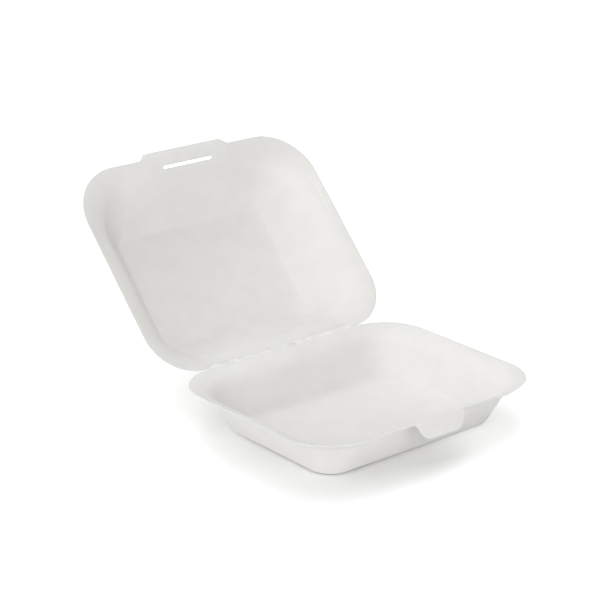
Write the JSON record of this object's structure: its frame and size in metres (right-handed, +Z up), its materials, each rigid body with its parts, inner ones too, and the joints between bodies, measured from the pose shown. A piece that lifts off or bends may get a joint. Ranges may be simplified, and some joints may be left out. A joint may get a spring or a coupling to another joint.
{
  "type": "hinged clamshell food box",
  "caption": "Shallow moulded-fibre tray with a hinged lid of the same shape, a lifting tab with a slit on the lid and a locking tongue on the tray.",
  "frame": {"origin": "middle of the tray rim in plan, on the surface that the tray stands on", "axes": "+Z up, -Y to the front where the tab and tongue are, +X to the right of a person facing the front; the crease runs along X at the back"},
  "size_m": [0.18, 0.248, 0.1345],
  "materials": {
    "tray_fibre": "matte, faintly grained moulded sugar-cane fibre",
    "lid_fibre": "matte, faintly grained moulded sugar-cane fibre"
  },
  "bodies": {
    "tray": {"base_tray": "tray_fibre"},
    "lid": {"lid": "lid_fibre"}
  },
  "joints": [
    {"name": "lid_hinge", "type": "hinge", "parent": "tray", "child": "lid", "pos_m": [0, 0.07015, 0.02865], "axis": [-1, 0, 0], "range_deg": [-134, 37]}
  ]
}
